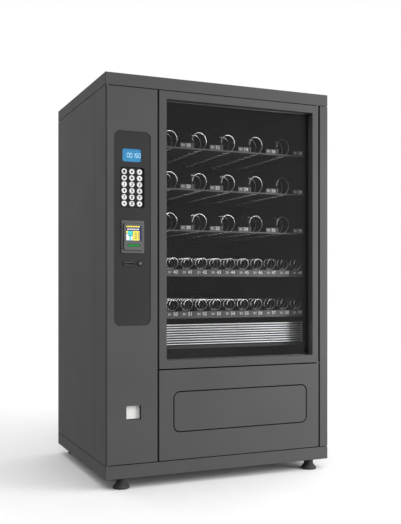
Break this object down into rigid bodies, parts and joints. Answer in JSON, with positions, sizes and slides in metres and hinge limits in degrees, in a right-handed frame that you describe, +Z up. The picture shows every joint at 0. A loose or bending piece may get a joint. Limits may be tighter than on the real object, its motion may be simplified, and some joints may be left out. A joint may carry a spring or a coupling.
{
  "type": "snack vending machine",
  "caption": "Free-standing glass-front snack vending machine with a payment door, spiral trays and a push-flap delivery bin.",
  "frame": {"origin": "on the floor, at the centre of the bounding box's underside", "axes": "+Z up, +Y from the front into the machine, +X to the right when facing the front"},
  "size_m": [1.128, 0.894, 1.83],
  "materials": {
    "cabinet_paint": "satin",
    "dark_paint": "satin",
    "interior_paint": "matt",
    "black_plastic": "matt",
    "grey_plastic": "satin",
    "key_white": "gloss",
    "display_lens": "gloss",
    "window_glass": "clear",
    "steel_wire": "polished",
    "aluminium": "brushed",
    "foot_rubber": "matt"
  },
  "bodies": {
    "root": {"base_plinth": "cabinet_paint", "top_cover": "cabinet_paint", "left_side_panel": "cabinet_paint", "right_side_panel": "cabinet_paint", "back_panel": "dark_paint", "mains_inlet": "black_plastic", "column_partition": "interior_paint", "front_left_foot": "foot_rubber", "front_right_foot": "foot_rubber", "back_left_foot": "foot_rubber", "back_right_foot": "foot_rubber", "compartment_liner": "interior_paint", "snack_tray_1": "interior_paint", "snack_tray_2": "interior_paint", "snack_tray_3": "interior_paint", "candy_tray_1": "interior_paint", "candy_tray_2": "interior_paint", "air_grille": "aluminium", "light_bar": "aluminium", "window_hinge_rod": "steel_wire", "delivery_panel": "cabinet_paint", "flap_hinge_rod": "steel_wire", "delivery_bin": "interior_paint", "payment_hinge_rod": "steel_wire"},
    "payment_door": {"payment_door": "cabinet_paint", "control_panel": "dark_paint", "display": "display_lens", "keypad_plate": "black_plastic", "card_reader": "grey_plastic", "coin_slot": "grey_plastic", "coin_return_cup": "black_plastic", "coin_mechanism": "grey_plastic"},
    "window_door": {"window_frame": "cabinet_paint", "window_glass": "window_glass"},
    "delivery_flap": {"delivery_flap": "cabinet_paint"},
    "coin_return_flap": {"coin_return_flap": "key_white"},
    "coin_return_button": {"coin_return_button": "grey_plastic"},
    "key_1": {"key_1": "key_white"},
    "key_2": {"key_2": "key_white"},
    "key_3": {"key_3": "key_white"},
    "key_4": {"key_4": "key_white"},
    "key_5": {"key_5": "key_white"},
    "key_6": {"key_6": "key_white"},
    "key_7": {"key_7": "key_white"},
    "key_8": {"key_8": "key_white"},
    "key_9": {"key_9": "key_white"},
    "key_10": {"key_10": "key_white"},
    "key_11": {"key_11": "key_white"},
    "key_12": {"key_12": "key_white"},
    "key_13": {"key_13": "key_white"},
    "key_14": {"key_14": "key_white"},
    "key_15": {"key_15": "key_white"},
    "key_16": {"key_16": "key_white"},
    "key_17": {"key_17": "key_white"},
    "key_18": {"key_18": "key_white"},
    "spiral_1": {"spiral_1": "steel_wire"},
    "spiral_2": {"spiral_2": "steel_wire"},
    "spiral_3": {"spiral_3": "steel_wire"},
    "spiral_4": {"spiral_4": "steel_wire"},
    "spiral_5": {"spiral_5": "steel_wire"}
  },
  "joints": [
    {"name": "payment_door_hinge", "type": "hinge", "parent": "root", "child": "payment_door", "pos_m": [-0.5544, -0.433, 0.948], "axis": [0, 0, -1], "range_deg": [0, 100]},
    {"name": "window_door_hinge", "type": "hinge", "parent": "root", "child": "window_door", "pos_m": [0.5079, -0.433, 0.948], "axis": [0, 0, 1], "range_deg": [0, 110]},
    {"name": "delivery_flap_hinge", "type": "hinge", "parent": "root", "child": "delivery_flap", "pos_m": [0.1004, -0.4335, 0.4083], "axis": [1, 0, 0], "range_deg": [0, 65]},
    {"name": "coin_return_flap_hinge", "type": "hinge", "parent": "payment_door", "child": "coin_return_flap", "pos_m": [-0.43425, -0.422, 0.3725], "axis": [1, 0, 0], "range_deg": [0, 60]},
    {"name": "coin_return_button_press", "type": "slide", "parent": "payment_door", "child": "coin_return_button", "axis": [0, 1, 0], "range_m": [0, 0.004], "stiffness_N_per_m": 300},
    {"name": "key_1_press", "type": "slide", "parent": "payment_door", "child": "key_1", "axis": [0, 1, 0], "range_m": [0, 0.0015], "stiffness_N_per_m": 500},
    {"name": "key_2_press", "type": "slide", "parent": "payment_door", "child": "key_2", "axis": [0, 1, 0], "range_m": [0, 0.0015], "stiffness_N_per_m": 500},
    {"name": "key_3_press", "type": "slide", "parent": "payment_door", "child": "key_3", "axis": [0, 1, 0], "range_m": [0, 0.0015], "stiffness_N_per_m": 500},
    {"name": "key_4_press", "type": "slide", "parent": "payment_door", "child": "key_4", "axis": [0, 1, 0], "range_m": [0, 0.0015], "stiffness_N_per_m": 500},
    {"name": "key_5_press", "type": "slide", "parent": "payment_door", "child": "key_5", "axis": [0, 1, 0], "range_m": [0, 0.0015], "stiffness_N_per_m": 500},
    {"name": "key_6_press", "type": "slide", "parent": "payment_door", "child": "key_6", "axis": [0, 1, 0], "range_m": [0, 0.0015], "stiffness_N_per_m": 500},
    {"name": "key_7_press", "type": "slide", "parent": "payment_door", "child": "key_7", "axis": [0, 1, 0], "range_m": [0, 0.0015], "stiffness_N_per_m": 500},
    {"name": "key_8_press", "type": "slide", "parent": "payment_door", "child": "key_8", "axis": [0, 1, 0], "range_m": [0, 0.0015], "stiffness_N_per_m": 500},
    {"name": "key_9_press", "type": "slide", "parent": "payment_door", "child": "key_9", "axis": [0, 1, 0], "range_m": [0, 0.0015], "stiffness_N_per_m": 500},
    {"name": "key_10_press", "type": "slide", "parent": "payment_door", "child": "key_10", "axis": [0, 1, 0], "range_m": [0, 0.0015], "stiffness_N_per_m": 500},
    {"name": "key_11_press", "type": "slide", "parent": "payment_door", "child": "key_11", "axis": [0, 1, 0], "range_m": [0, 0.0015], "stiffness_N_per_m": 500},
    {"name": "key_12_press", "type": "slide", "parent": "payment_door", "child": "key_12", "axis": [0, 1, 0], "range_m": [0, 0.0015], "stiffness_N_per_m": 500},
    {"name": "key_13_press", "type": "slide", "parent": "payment_door", "child": "key_13", "axis": [0, 1, 0], "range_m": [0, 0.0015], "stiffness_N_per_m": 500},
    {"name": "key_14_press", "type": "slide", "parent": "payment_door", "child": "key_14", "axis": [0, 1, 0], "range_m": [0, 0.0015], "stiffness_N_per_m": 500},
    {"name": "key_15_press", "type": "slide", "parent": "payment_door", "child": "key_15", "axis": [0, 1, 0], "range_m": [0, 0.0015], "stiffness_N_per_m": 500},
    {"name": "key_16_press", "type": "slide", "parent": "payment_door", "child": "key_16", "axis": [0, 1, 0], "range_m": [0, 0.0015], "stiffness_N_per_m": 500},
    {"name": "key_17_press", "type": "slide", "parent": "payment_door", "child": "key_17", "axis": [0, 1, 0], "range_m": [0, 0.0015], "stiffness_N_per_m": 500},
    {"name": "key_18_press", "type": "slide", "parent": "payment_door", "child": "key_18", "axis": [0, 1, 0], "range_m": [0, 0.0015], "stiffness_N_per_m": 500},
    {"name": "spiral_1_turn", "type": "hinge", "parent": "root", "child": "spiral_1", "pos_m": [-0.212, -0.322, 1.58], "axis": [0, 1, 0], "continuous": true},
    {"name": "spiral_2_turn", "type": "hinge", "parent": "root", "child": "spiral_2", "pos_m": [-0.0616, -0.322, 1.58], "axis": [0, 1, 0], "continuous": true},
    {"name": "spiral_3_turn", "type": "hinge", "parent": "root", "child": "spiral_3", "pos_m": [0.0888, -0.322, 1.58], "axis": [0, 1, 0], "continuous": true},
    {"name": "spiral_4_turn", "type": "hinge", "parent": "root", "child": "spiral_4", "pos_m": [0.2392, -0.322, 1.58], "axis": [0, 1, 0], "continuous": true},
    {"name": "spiral_5_turn", "type": "hinge", "parent": "root", "child": "spiral_5", "pos_m": [0.3896, -0.322, 1.58], "axis": [0, 1, 0], "continuous": true}
  ]
}
